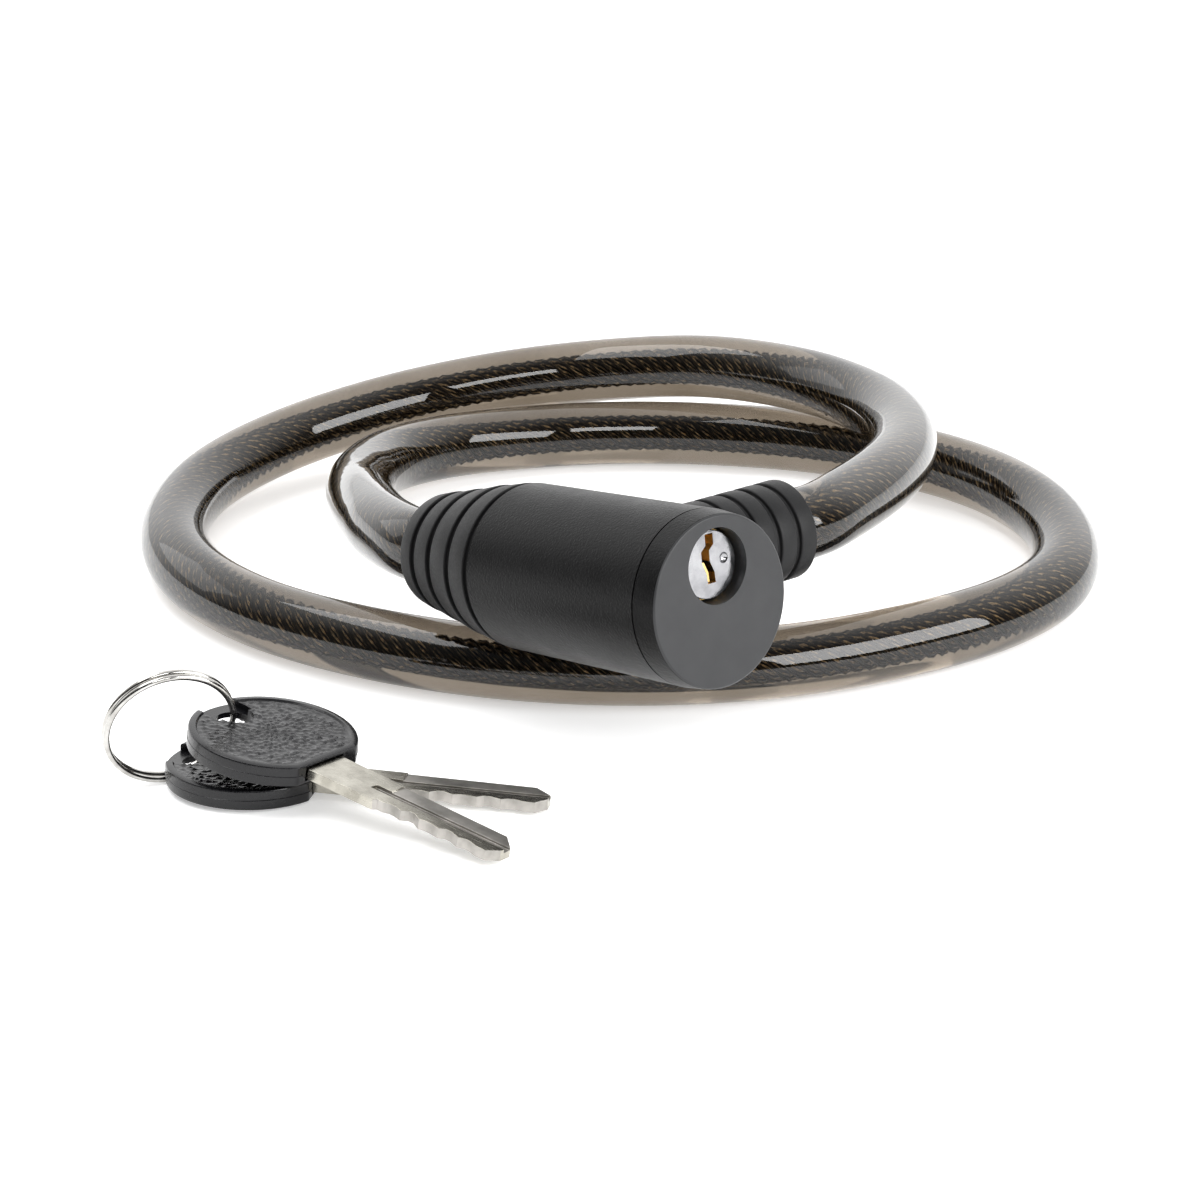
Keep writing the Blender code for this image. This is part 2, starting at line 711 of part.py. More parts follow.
def key_outline():
    """Round head with one straight side towards the blade."""
    corner = math.acos(HEAD_FLAT / HEAD_R)
    steps = 36
    angles = [corner + (2 * math.pi - 2 * corner) * i / steps for i in range(steps + 1)]
    return [(HEAD_R * math.cos(a), HEAD_R * math.sin(a)) for a in angles]


def blade_outline():
    """Tang, shoulder, five cuts along one edge and a pointed tip."""
    tip = BLADE_LENGTH
    outline = [
        (HEAD_FLAT - BLADE_TANG, -BLADE_ROOT),
        (BLADE_SHOULDER, -BLADE_ROOT),
        (BLADE_SHOULDER + 0.5 * MM, -BLADE_EDGE),
    ]
    for from_tip, depth in KEY_CUTS:
        place = tip - from_tip * MM
        floor = depth * MM - BLADE_EDGE
        outline += [
            (place - 1.5 * MM, -BLADE_EDGE),
            (place - 0.5 * MM, floor),
            (place + 0.5 * MM, floor),
        ]
    outline += [
        (tip - 3.4 * MM, -BLADE_EDGE),
        (tip - 1.6 * MM, -BLADE_EDGE),
        (tip, -2.2 * MM),
        (tip, 0.0),
        (tip - 2.8 * MM, BLADE_BACK - 0.6 * MM),
        (HEAD_FLAT - BLADE_TANG, BLADE_BACK),
    ]
    return outline


def build_key(name, eye):
    """A key about its eye: the blade along +X, the head's faces square to Z."""
    head_mid = EYE_AT
    bm = bmesh.new()
    foot = [bm.verts.new((x + head_mid, y, -HEAD_THICK / 2)) for x, y in key_outline()]
    face = bm.faces.new(foot)
    raised = bmesh.ops.extrude_face_region(bm, geom=[face])["geom"]
    top = [item for item in raised if isinstance(item, bmesh.types.BMVert)]
    bmesh.ops.translate(bm, verts=top, vec=(0, 0, HEAD_THICK))
    bmesh.ops.recalc_face_normals(bm, faces=bm.faces)
    rims = [edge for edge in bm.edges if abs(edge.verts[0].co.z - edge.verts[1].co.z) < GAP]
    bmesh.ops.bevel(bm, geom=rims, offset=0.4 * MM, segments=2, profile=0.5, affect="EDGES")
    flats = [face for face in bm.faces if abs(face.normal.z) > 0.99]
    for flat in flats:
        bmesh.ops.inset_region(bm, faces=[flat], thickness=HEAD_RIM, depth=0.0)
        bmesh.ops.inset_region(bm, faces=[flat], thickness=HEAD_SINK, depth=-HEAD_SINK)
    head = put(f"{name}_head", finish(bm, f"{name}_head"), eye, KEY_PLASTIC)
    cut(head, plate("eye", disc_outline(EYE_R, steps=28), -HEAD_THICK, HEAD_THICK), eye)
    notch_outline = box_outline(-2 * EYE_AT, 0, -EYE_NOTCH_HALF, EYE_NOTCH_HALF)
    for side in (1, -1):
        near = HEAD_THICK / 2 - EYE_NOTCH
        low, high = sorted((side * near, side * HEAD_THICK))
        cut(head, plate(f"notch_{'top' if side > 0 else 'foot'}", notch_outline, low, high), eye)
    tang_half = BLADE_THICK / 2 + GAP
    tang_slot = box_outline(
        head_mid + HEAD_FLAT - BLADE_TANG - GAP,
        head_mid + HEAD_FLAT + OVERCUT,
        -BLADE_ROOT - GAP,
        BLADE_BACK + GAP,
    )
    cut(head, plate("tang_slot", tang_slot, -tang_half, tang_half), eye)

    outline = [(x + head_mid, y) for x, y in blade_outline()]
    body = plate(f"{name}_blade", outline, -BLADE_THICK / 2, BLADE_THICK / 2)
    blade = put(f"{name}_blade", body, eye, NICKEL)
    groove_start = head_mid + BLADE_SHOULDER - 3 * MM
    groove_end = head_mid + BLADE_LENGTH + OVERCUT
    groove_floor = BLADE_THICK / 2 - 0.6 * MM
    upper = box_outline(groove_start, groove_end, -1.5 * MM, -0.1 * MM)
    lower = box_outline(groove_start, groove_end, 0.7 * MM, 2.1 * MM)
    cut(blade, plate("groove_top", upper, groove_floor, BLADE_THICK), eye)
    cut(blade, plate("groove_foot", lower, -BLADE_THICK, -groove_floor), eye)


def ring_points():
    """Two turns of wire that step over from the first layer to the second."""
    points = []
    for degrees in range(20, 701, 10):
        over = min(max((degrees - 345) / 30, 0.0), 1.0)
        layer = (over - 0.5) * RING_PITCH
        angle = math.radians(degrees)
        points.append(Vector((RING_R * math.cos(angle), RING_R * math.sin(angle), layer)))
    return points


build_body()
build_cable_end()
build_cylinder()
build_slider()
build_plug()
coil_curve("cable", smooth_route(cable_route(), CABLE_STEP), CABLE_R, CABLE_SIDES, SMOKED_PVC, None)

key_a_eye = empty(
    "key_a_eye",
    None,
    SITE + Vector((-56.35, -84.05, 8.93)) * MM,
    (math.radians(-1.8), math.radians(7.6), math.radians(-38.5)),
)
key_b_eye = empty(
    "key_b_eye",
    None,
    SITE + Vector((-61.7, -84.6, 2.24)) * MM,
    (0.0, math.radians(1.0), math.radians(-12.6)),
)
build_key("key_a", key_a_eye)
build_key("key_b", key_b_eye)
ring = empty(
    "ring_middle",
    None,
    SITE + Vector((-65.9, -88.7, 10.1)) * MM,
    (math.radians(-70.6), 0.0, math.radians(19.8)),
)
coil_curve("split_ring", ring_points(), RING_WIRE_R, 6, STEEL, ring)
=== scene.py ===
"""The keyed cable lock: smoke-tinted cable over a steel rope, black body, bright cylinder, keys and ring."""

import math

import bmesh
import bpy
import numpy as np
from mathutils import Matrix, Vector, noise


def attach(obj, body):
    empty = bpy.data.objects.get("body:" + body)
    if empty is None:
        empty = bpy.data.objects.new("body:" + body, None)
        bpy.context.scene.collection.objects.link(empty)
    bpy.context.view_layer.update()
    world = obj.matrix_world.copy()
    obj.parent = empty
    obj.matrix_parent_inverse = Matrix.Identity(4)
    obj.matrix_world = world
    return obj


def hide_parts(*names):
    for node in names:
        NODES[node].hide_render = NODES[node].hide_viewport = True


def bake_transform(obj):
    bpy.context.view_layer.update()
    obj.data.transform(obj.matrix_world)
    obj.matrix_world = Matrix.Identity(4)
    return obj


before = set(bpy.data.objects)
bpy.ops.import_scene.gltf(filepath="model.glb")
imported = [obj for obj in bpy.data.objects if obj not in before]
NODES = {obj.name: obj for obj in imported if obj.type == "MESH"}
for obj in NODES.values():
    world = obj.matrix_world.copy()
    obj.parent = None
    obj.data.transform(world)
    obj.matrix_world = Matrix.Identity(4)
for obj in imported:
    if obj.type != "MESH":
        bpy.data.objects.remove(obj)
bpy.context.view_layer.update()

MM = 0.001
GAP = 0.3 * MM
OVERCUT = 1.0 * MM

# Where the lock and keys stand, as in the CAD
SITE = Vector((24.0, 79.17, 0.0)) * MM
LOCK_TURN = math.radians(41.2)
LOCK_TILT = math.radians(7.1)
BOLT_DEPTH = 30.0 * MM
BOLT_DROP = 0.9 * MM
CYLINDER_RISE = 5.5 * MM
LOCK = Matrix.Translation(SITE + Vector((18.1, -93.4, 31.9)) * MM)
LOCK = LOCK @ Matrix.Rotation(LOCK_TURN, 4, "Z") @ Matrix.Rotation(math.pi / 2 - LOCK_TILT, 4, "X")
CYLINDER = LOCK @ Matrix.Translation((0.0, CYLINDER_RISE, 0.0))
BOLT = LOCK @ Matrix.Translation((0.0, -BOLT_DROP, -BOLT_DEPTH)) @ Matrix.Rotation(math.pi / 2, 4, "Y")

CABLE_R = 6.0 * MM
CABLE_REST = 6.1  # height of the resting cable's middle, in the route's millimetres
CABLE_LEAD = 7.0 * MM
CABLE_BORE = CABLE_R + GAP
FERRULE_START = 36.0 * MM
FERRULE_FLOOR = 3.5 * MM
FERRULE_END = 52.0 * MM
BODY_LENGTH = 44.2 * MM
BODY_R = 13.72 * MM
BOOT_LENGTH = 22.1 * MM
BODY_BACK_R = 13.3 * MM
INNER_R = BODY_BACK_R - 1.5 * MM
CAP_DEPTH = 4.4 * MM
BOLT_R = 4.5 * MM
PLUG_START = 14.2 * MM
PLUG_END = 41.2 * MM
PLUG_R = 8.2 * MM
SOCKET_FLOOR = 20.0 * MM
SOCKET_MOUTH = 34.3 * MM


# Camera

CAMERA_EYE = Vector((0.024, -0.61107, 0.23767))
CAMERA_TARGET = Vector((0.024, 0.07917, 0.0))
SENSOR_WIDTH = 36.0
LENS = 126.0


def make_camera():
    data = bpy.data.cameras.new("camera")
    data.sensor_width = SENSOR_WIDTH
    data.lens = LENS
    data.clip_start = 0.01
    camera = bpy.data.objects.new("camera", data)
    bpy.context.scene.collection.objects.link(camera)
    camera.location = CAMERA_EYE
    camera.rotation_mode = "QUATERNION"
    camera.rotation_quaternion = (CAMERA_TARGET - CAMERA_EYE).to_track_quat("-Z", "Y")
    bpy.context.scene.camera = camera


make_camera()


# Materials

class Look:
    """One Principled material and the nodes that feed it, in object space."""

    def __init__(self, name, **values):
        self.material = bpy.data.materials.new(name)
        self.material.use_nodes = True
        self.tree = self.material.node_tree
        self.shader = self.tree.nodes["Principled BSDF"]
        for key, value in values.items():
            self.shader.inputs[key.replace("_", " ")].default_value = value
        self.place = self.node("ShaderNodeTexCoord").outputs["Object"]
        self.bumped = None

    def node(self, kind, **inputs):
        made = self.tree.nodes.new(kind)
        for key, value in inputs.items():
            socket = made.inputs[key.replace("_", " ")]
            if isinstance(value, bpy.types.NodeSocket):
                self.tree.links.new(value, socket)
            else:
                socket.default_value = value
        return made

    def link(self, value, key):
        self.tree.links.new(value, self.shader.inputs[key])

    def math(self, operation, first, second=0.0):
        made = self.tree.nodes.new("ShaderNodeMath")
        made.operation = operation
        for socket, value in zip(made.inputs, (first, second)):
            if isinstance(value, bpy.types.NodeSocket):
                self.tree.links.new(value, socket)
            else:
                socket.default_value = value
        return made.outputs[0]

    def noise(self, scale, detail=3.0, roughness=0.55, place=None):
        made = self.node("ShaderNodeTexNoise", Scale=scale, Detail=detail, Roughness=roughness)
        self.tree.links.new(place or self.place, made.inputs["Vector"])
        return made.outputs["Factor"] if "Factor" in made.outputs else made.outputs["Fac"]

    def span(self, value, low, high, from_low=0.3, from_high=0.7):
        made = self.node("ShaderNodeMapRange", Value=value)
        keys = ("From Min", "From Max", "To Min", "To Max")
        for key, number in zip(keys, (from_low, from_high, low, high)):
            made.inputs[key].default_value = number
        return made.outputs["Result"]

    def colors(self, value, *stops):
        """A ramp of (place, (r, g, b)) stops."""
        ramp = self.node("ShaderNodeValToRGB", Fac=value)
        elements = ramp.color_ramp.elements
        while len(elements) < len(stops):
            elements.new(0.5)
        for element, (place, color) in zip(elements, stops):
            element.position = place
            element.color = (*color, 1.0)
        return ramp.outputs["Color"]

    def bump(self, height, distance, strength=1.0):
        made = self.node("ShaderNodeBump", Height=height, Distance=distance, Strength=strength)
        if self.bumped:
            self.tree.links.new(self.bumped, made.inputs["Normal"])
        self.bumped = made.outputs["Normal"]
        self.link(self.bumped, "Normal")


def moulded(name, dark, light, rough, grain, depth, mottle=180.0, ior=1.38):
    """Moulded plastic or rubber: a fine sandy grain, soft mottling and uneven gloss."""
    look = Look(name, IOR=ior)
    sand = look.noise(grain, 2.0, 0.6)
    cloud = look.noise(mottle, 4.0)
    look.link(look.colors(cloud, (0.3, dark), (0.7, light)), "Base Color")
    mixed = look.math("ADD", look.math("MULTIPLY", cloud, 0.5), look.math("MULTIPLY", sand, 0.5))
    look.link(look.span(mixed, rough[0], rough[1], 0.35, 0.65), "Roughness")
    look.bump(sand, depth)
    return look.material


def metal(name, dark, light, rough, grain, depth, stretch=(1.0, 1.0, 1.0)):
    """Worked metal: fine drawn marks, a few stains and uneven polish."""
    look = Look(name, Metallic=1.0)
    mapping = look.node("ShaderNodeMapping", Vector=look.place, Scale=stretch)
    marks = look.noise(grain, 4.0, 0.65, mapping.outputs["Vector"])
    stain = look.noise(260.0, 4.0)
    look.link(look.colors(stain, (0.32, dark), (0.62, light)), "Base Color")
    look.link(look.span(marks, rough[0], rough[1], 0.3, 0.7), "Roughness")
    look.bump(marks, depth)
    return look.material


def smoked_sheath():
    """Clear PVC with a smoke tint. Light reaches what is behind it."""
    look = Look("smoked sheath", IOR=1.5, Transmission_Weight=1.0)
    cloud = look.noise(60.0, 2.0)
    smoke, pale_smoke = (0.13, 0.104, 0.076), (0.165, 0.136, 0.105)
    look.link(look.colors(cloud, (0.35, smoke), (0.65, pale_smoke)), "Base Color")
    look.link(look.span(look.noise(700.0, 3.0), 0.015, 0.05), "Roughness")
    look.bump(look.noise(90.0, 2.0), 0.05 * MM)
    path = look.node("ShaderNodeLightPath")
    clear = look.node("ShaderNodeBsdfTransparent", Color=(0.45, 0.42, 0.39, 1.0))
    mix = look.tree.nodes.new("ShaderNodeMixShader")
    look.tree.links.new(path.outputs["Is Shadow Ray"], mix.inputs[0])
    look.tree.links.new(look.shader.outputs[0], mix.inputs[1])
    look.tree.links.new(clear.outputs[0], mix.inputs[2])
    look.tree.links.new(mix.outputs[0], look.tree.nodes["Material Output"].inputs["Surface"])
    return look.material


ROPE_STRANDS = 6
WIRES_AROUND = 24.0
WIRES_PER_LAY = 9.0
ROPE_LAY = 14.0 * MM
ROPE_R = 2.3 * MM


def rope_steel():
    """Twisted steel wires, with painted shade dark in the valleys and warm painted glints on the crowns."""
    look = Look("rope steel", Metallic=0.7)
    split = look.node("ShaderNodeSeparateXYZ", Vector=look.node("ShaderNodeUVMap").outputs["UV"])
    along, around = split.outputs["X"], split.outputs["Y"]
    wound = look.math("MULTIPLY", around, WIRES_AROUND)
    wires = look.math("ADD", wound, look.math("MULTIPLY", along, WIRES_PER_LAY))
    wave = look.math("SINE", look.math("MULTIPLY", wires, 2 * math.pi))
    crown = look.math("MULTIPLY", look.math("ADD", wave, 1.0), 0.5)
    across = look.math("FRACT", look.math("MULTIPLY", around, ROPE_STRANDS))
    strand = look.math("SINE", look.math("MULTIPLY", across, math.pi))
    lit = look.math("MULTIPLY", crown, strand)
    uneven = look.math("MULTIPLY", lit, look.span(look.noise(900.0, 3.0), 0.35, 1.25))
    # The base colour carries painted light: painted shade where the wires and strands meet, painted glints on
    # their crowns.
    valley_shade, warm, glint = (0.016, 0.013, 0.010), (0.14, 0.115, 0.08), (0.85, 0.70, 0.46)
    look.link(look.colors(uneven, (0.1, valley_shade), (0.45, warm), (0.8, glint)), "Base Color")
    look.link(look.span(crown, 0.5, 0.25, 0.0, 1.0), "Roughness")
    look.bump(crown, 0.18 * MM)
    return look.material


BARREL = moulded(
    "barrel black",
    dark=(0.003, 0.003, 0.0032),
    light=(0.005, 0.005, 0.0052),
    rough=(0.3, 0.42),
    grain=2600.0,
    depth=0.075 * MM,
    ior=1.22,
)
CAP = moulded(
    "cap grey",
    dark=(0.016, 0.0165, 0.018),
    light=(0.022, 0.0225, 0.024),
    rough=(0.34, 0.44),
    grain=5200.0,
    depth=0.012 * MM,
    ior=1.42,
)
RUBBER = moulded(
    "boot rubber",
    dark=(0.006, 0.006, 0.0065),
    light=(0.010, 0.010, 0.0105),
    rough=(0.42, 0.56),
    grain=2600.0,
    depth=0.02 * MM,
    ior=1.3,
)
KEY_BLACK = moulded(
    "key black",
    dark=(0.003, 0.003, 0.004),
    light=(0.006, 0.006, 0.007),
    rough=(0.16, 0.3),
    grain=2400.0,
    depth=0.02 * MM,
    ior=1.42,
)
ZINC = metal(
    "zinc casting",
    dark=(0.30, 0.31, 0.33),
    light=(0.44, 0.45, 0.47),
    rough=(0.42, 0.6),
    grain=1500.0,
    depth=0.05 * MM,
)
STEEL = metal(
    "machined steel",
    dark=(0.42, 0.42, 0.43),
    light=(0.62, 0.62, 0.63),
    rough=(0.2, 0.36),
    grain=900.0,
    depth=0.01 * MM,
    stretch=(1.0, 1.0, 5.0),
)
CHROME = metal(
    "bright chrome",
    dark=(0.20, 0.20, 0.21),
    light=(0.34, 0.34, 0.35),
    rough=(0.1, 0.24),
    grain=600.0,
    depth=0.05 * MM,
)
BRASS = metal(
    "brass",
    dark=(0.60, 0.40, 0.13),
    light=(0.82, 0.58, 0.24),
    rough=(0.25, 0.45),
    grain=1400.0,
    depth=0.03 * MM,
)
NICKEL = metal(
    "nickel silver",
    dark=(0.30, 0.285, 0.245),
    light=(0.46, 0.44, 0.385),
    rough=(0.18, 0.30),
    grain=900.0,
    depth=0.003 * MM,
    stretch=(0.25, 3.0, 1.0),
)
MILLED = metal(
    "milled nickel",
    dark=(0.26, 0.25, 0.23),
    light=(0.42, 0.40, 0.375),
    rough=(0.3, 0.42),
    grain=900.0,
    depth=0.01 * MM,
    stretch=(0.2, 4.0, 1.0),
)
RING_STEEL = metal(
    "ring steel",
    dark=(0.34, 0.33, 0.31),
    light=(0.56, 0.55, 0.53),
    rough=(0.08, 0.2),
    grain=900.0,
    depth=0.004 * MM,
)
SPRING = metal(
    "spring steel",
    dark=(0.40, 0.40, 0.42),
    light=(0.58, 0.58, 0.6),
    rough=(0.2, 0.35),
    grain=1500.0,
    depth=0.01 * MM,
)
SHEATH = smoked_sheath()
ROPE = rope_steel()


# Meshes

WELD = 1e-7
CARVED_SHARP = math.radians(32)
BEVEL_FROM = math.radians(40)


def put(name, mesh, look, place=None):
    made = bpy.data.objects.new(name, mesh)
    bpy.context.scene.collection.objects.link(made)
    if look:
        mesh.materials.append(look)
    if place is not None:
        made.matrix_world = place
    return made


def finish(bm, name, sharp=35):
    bmesh.ops.remove_doubles(bm, verts=bm.verts, dist=WELD)
    bmesh.ops.recalc_face_normals(bm, faces=bm.faces)
    mesh = bpy.data.meshes.new(name)
    bm.to_mesh(mesh)
    bm.free()
    mesh.shade_smooth()
    mesh.set_sharp_from_angle(angle=math.radians(sharp))
    return mesh


def turned(name, outline, steps=96):
    """A mesh turned about Z from (radius, height) points. A bored piece's outline is a loop."""
    bm = bmesh.new()
    verts = [bm.verts.new((radius, 0.0, height)) for radius, height in outline]
    edges = [bm.edges.new(pair) for pair in zip(verts, verts[1:])]
    if outline[0][0] > 0:
        edges.append(bm.edges.new((verts[-1], verts[0])))
    bmesh.ops.spin(
        bm,
        geom=verts + edges,
        cent=(0, 0, 0),
        axis=(0, 0, 1),
        angle=2 * math.pi,
        steps=steps,
        use_merge=True,
    )
    return finish(bm, name)


def plate(name, outline, low, high):
    bm = bmesh.new()
    face = bm.faces.new([bm.verts.new((x, y, low)) for x, y in outline])
    raised = bmesh.ops.extrude_face_region(bm, geom=[face])["geom"]
    top = [item for item in raised if isinstance(item, bmesh.types.BMVert)]
    bmesh.ops.translate(bm, verts=top, vec=(0, 0, high - low))
    return finish(bm, name)


def rounded(outline, radius, steps=3):
    """The outline with each inner corner cut back along its sides and rounded."""
    made = [outline[0]]
    for before, here, after in zip(outline, outline[1:], outline[2:]):
        a, b, c = Vector(before), Vector(here), Vector(after)
        reach = min(radius, (a - b).length * 0.45, (c - b).length * 0.45)
        start = b + (a - b).normalized() * reach
        end = b + (c - b).normalized() * reach
        for i in range(steps + 1):
            t = i / steps
            point = start * (1 - t) ** 2 + b * 2 * t * (1 - t) + end * t**2
            made.append((point.x, point.y))
    return made + [outline[-1]]


def behind(outline):
    return [(radius, -depth) for radius, depth in outline]


def disc_outline(radius, centre=(0.0, 0.0), steps=48):
    angles = [2 * math.pi * i / steps for i in range(steps)]
    return [(centre[0] + radius * math.cos(a), centre[1] + radius * math.sin(a)) for a in angles]


def box_outline(left, right, bottom, top):
    return [(left, bottom), (right, bottom), (right, top), (left, top)]


def carve(mesh, cutters, bevel=0.0):
    """The mesh with the cutters taken away and, where asked, its sharp edges rounded."""
    body = bpy.data.objects.new(mesh.name, mesh)
    bpy.context.scene.collection.objects.link(body)
    tools = []
    for cutter in cutters:
        tool = bpy.data.objects.new("tool", cutter)
        bpy.context.scene.collection.objects.link(tool)
        boolean = body.modifiers.new("cut", "BOOLEAN")
        boolean.solver = "EXACT"
        boolean.object = tool
        tools.append(tool)
    body.data = evaluated_mesh(body)
    body.modifiers.clear()
    body.data.shade_smooth()
    body.data.set_sharp_from_angle(angle=CARVED_SHARP)
    if bevel:
        softened = body.modifiers.new("bevel", "BEVEL")
        softened.width = bevel
        softened.segments = 2
        softened.limit_method = "ANGLE"
        softened.angle_limit = BEVEL_FROM
    normals = body.modifiers.new("normals", "WEIGHTED_NORMAL")
    normals.keep_sharp = True
    made = evaluated_mesh(body)
    made.name = mesh.name
    for extra in [body, *tools]:
        bpy.data.objects.remove(extra)
    return made


def evaluated_mesh(body):
    bpy.context.view_layer.update()
    return bpy.data.meshes.new_from_object(body.evaluated_get(bpy.context.evaluated_depsgraph_get()))


# Cable: the same route as in the CAD

CURVE_STEPS = 24  # between two of the route's points


def smooth_route(points, step):
    """Points at an even step along a centripetal Catmull-Rom curve through the route."""
    ends = [2 * points[0] - points[1], *points, 2 * points[-1] - points[-2]]
    fine = []
    for a, b, c, d in zip(ends, ends[1:], ends[2:], ends[3:]):
        t1 = (b - a).length ** 0.5
        t2 = t1 + (c - b).length ** 0.5
        t3 = t2 + (d - c).length ** 0.5
        for i in range(CURVE_STEPS):
            t = t1 + (t2 - t1) * i / CURVE_STEPS
            ab = a.lerp(b, t / t1)
            bc = b.lerp(c, (t - t1) / (t2 - t1))
            cd = c.lerp(d, (t - t2) / (t3 - t2))
            abc = ab.lerp(bc, t / t2)
            bcd = bc.lerp(cd, (t - t1) / (t3 - t1))
            fine.append(abc.lerp(bcd, (t - t1) / (t2 - t1)))
    fine.append(points[-1])
    total = sum((q - p).length for p, q in zip(fine, fine[1:]))
    count = round(total / step)
    even = [fine[0]]
    run = 0.0
    for p, q in zip(fine, fine[1:]):
        length = (q - p).length
        while len(even) < count and run + length >= total * len(even) / count:
            even.append(p.lerp(q, (total * len(even) / count - run) / length))
        run += length
    return even + [points[-1]]


def cable_route():
    free = [
        (-35.3, -24.5, 20.6),
        (-38.7, -9.0, 18.0),
        (-41.2, 7.0, 15.2),
        (-42.9, 24.0, 12.2),
        (-42.6, 41.0, 9.8),
        (-38.4, 57.0, 8.0),
        (-28.8, 69.4, 6.8),
        (-14.5, 77.4, CABLE_REST),
        (2.0, 80.6, CABLE_REST),
        (20.0, 80.0, CABLE_REST),
        (40.0, 75.0, CABLE_REST),
        (58.0, 65.0, CABLE_REST),
        (71.2, 50.5, CABLE_REST),
        (79.6, 31.0, CABLE_REST),
        (81.6, 9.5, CABLE_REST),
        (77.6, -9.2, CABLE_REST),
        (67.0, -25.2, CABLE_REST),
        (48.3, -39.6, CABLE_REST),
        (28.0, -48.7, CABLE_REST),
        (6.0, -52.0, CABLE_REST),
        (-16.0, -49.0, CABLE_REST),
        (-38.3, -39.3, CABLE_REST),
        (-57.7, -23.6, CABLE_REST),
        (-70.8, -2.6, CABLE_REST),
        (-75.7, 21.7, CABLE_REST),
        (-72.0, 47.0, 6.8),
        (-60.0, 67.0, 8.4),
        (-42.0, 80.5, 11.0),
        (-22.0, 87.0, 13.8),
        (0.0, 88.4, 16.3),
        (20.0, 83.4, 18.5),
        (37.5, 70.5, 19.7),
        (49.3, 50.0, 21.0),
        (53.4, 28.0, 22.7),
        (52.0, 6.0, 24.4),
        (47.3, -13.0, 26.0),
        (40.5, -29.5, 27.0),
    ]
    boot_end = BODY_LENGTH + BOOT_LENGTH
    depths = (FERRULE_START + FERRULE_FLOOR + GAP, boot_end - 14 * MM, boot_end, boot_end + CABLE_LEAD)
    start = [LOCK @ Vector((0, 0, -depth)) for depth in depths]
    reaches = (PLUG_END + CABLE_LEAD, PLUG_END, PLUG_END - 8 * MM, SOCKET_FLOOR + GAP)
    end = [BOLT @ Vector((0, 0, reach)) for reach in reaches]
    return start + [SITE + Vector(point) * MM for point in free] + end


def tube(name, line, sides, section, lay):
    """A closed tube along the line. section(angle) is its radius, and the section turns once in each lay."""
    points = np.array([tuple(p) for p in line])
    ahead = np.gradient(points, axis=0)
    ahead /= np.linalg.norm(ahead, axis=1)[:, None]
    run = np.concatenate([[0], np.cumsum(np.linalg.norm(np.diff(points, axis=0), axis=1))])
    side = np.cross(ahead[0], (0, 0, 1.0))
    side /= np.linalg.norm(side)
    angles = 2 * math.pi * np.arange(sides) / sides
    radii = np.array([section(a) for a in angles])
    verts = []
    for point, direction, distance in zip(points, ahead, run):
        side = side - direction * (side @ direction)
        side /= np.linalg.norm(side)
        other = np.cross(direction, side)
        turn = angles + 2 * math.pi * distance / lay
        ring = point + radii[:, None] * (np.cos(turn)[:, None] * side + np.sin(turn)[:, None] * other)
        verts.append(ring)
    rings = len(points)
    verts = np.concatenate(verts)
    faces = []
    corners = []
    for i in range(rings - 1):
        for j in range(sides):
            k = (j + 1) % sides
            faces.append((i * sides + j, i * sides + k, (i + 1) * sides + k, (i + 1) * sides + j))
            low, high = run[i] / lay, run[i + 1] / lay
            corners += [(low, j / sides), (low, (j + 1) / sides), (high, (j + 1) / sides), (high, j / sides)]
    faces.append(tuple(reversed(range(sides))))
    faces.append(tuple(range((rings - 1) * sides, rings * sides)))
    corners += [(0.0, 0.0)] * (2 * sides)
    mesh = bpy.data.meshes.new(name)
    mesh.from_pydata(verts.tolist(), [], faces)
    layer = mesh.uv_layers.new(name="UVMap")
    layer.data.foreach_set("uv", np.array(corners, np.float32).ravel())
    mesh.shade_smooth()
    mesh.set_sharp_from_angle(angle=math.radians(60))
    return mesh, np.repeat(run, sides)


def follow_plug(piece):
    """The piece's placement is baked into its mesh."""
    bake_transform(piece)


def strand_section(angle):
    return ROPE_R * (0.76 + 0.24 * abs(math.cos(ROPE_STRANDS * angle / 2)) ** 0.8)


CABLE_STEP = 2.5 * MM
ROPE_STEP = 1.4 * MM
CABLE_SIDES = 44
ROPE_SIDES = 36
UNTWISTED = 1.0  # a lay so long that the twist of a round section shows nowhere

LINE = smooth_route(cable_route(), CABLE_STEP)
sheath_mesh, sheath_run = tube("cable_sheath", LINE, CABLE_SIDES, lambda angle: CABLE_R, UNTWISTED)
sheath = put("cable_sheath", sheath_mesh, SHEATH)
rope_line = smooth_route(cable_route(), ROPE_STEP)[1:-1]
rope_mesh, rope_run = tube("steel_rope", rope_line, ROPE_SIDES, strand_section, ROPE_LAY)
rope = put("steel_rope", rope_mesh, ROPE)
follow_plug(sheath)
follow_plug(rope)
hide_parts("cable")


# Boots

def ribs(grooves, width, depth, end_place, end_radius):
    """Outer (radius, place) points of a boot. Each groove is (place, radius of the rib after it)."""
    points = []
    for place, radius in grooves:
        floor = radius - depth
        points += [(radius, place), (floor, place), (floor, place + width), (radius, place + width)]
    return points[1:] + [(end_radius, end_place)]


def body_boot():
    end = BODY_LENGTH + BOOT_LENGTH
    root = 41.7 * MM
    steps = ((0.3, 13.2), (6.0, 12.3), (12.3, 11.0), (17.6, 10.0))
    grooves = [(BODY_LENGTH + place * MM, radius * MM) for place, radius in steps]
    bore = CABLE_BORE + 0.8 * MM + GAP
    outline = [
        (bore, root),
        (INNER_R, root),
        (INNER_R, grooves[0][0]),
        *ribs(grooves, 1.0 * MM, 0.9 * MM, end, 9.2 * MM),
        (CABLE_BORE, end),
        (CABLE_BORE, FERRULE_END + GAP),
        (bore, FERRULE_END + GAP),
    ]
    skin = turned("body_boot_skin", behind(rounded(outline, 0.45 * MM)))
    boot = put("body_boot_skin", skin, RUBBER, LOCK)
    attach(boot, "lock_body")
    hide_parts("body_boot")


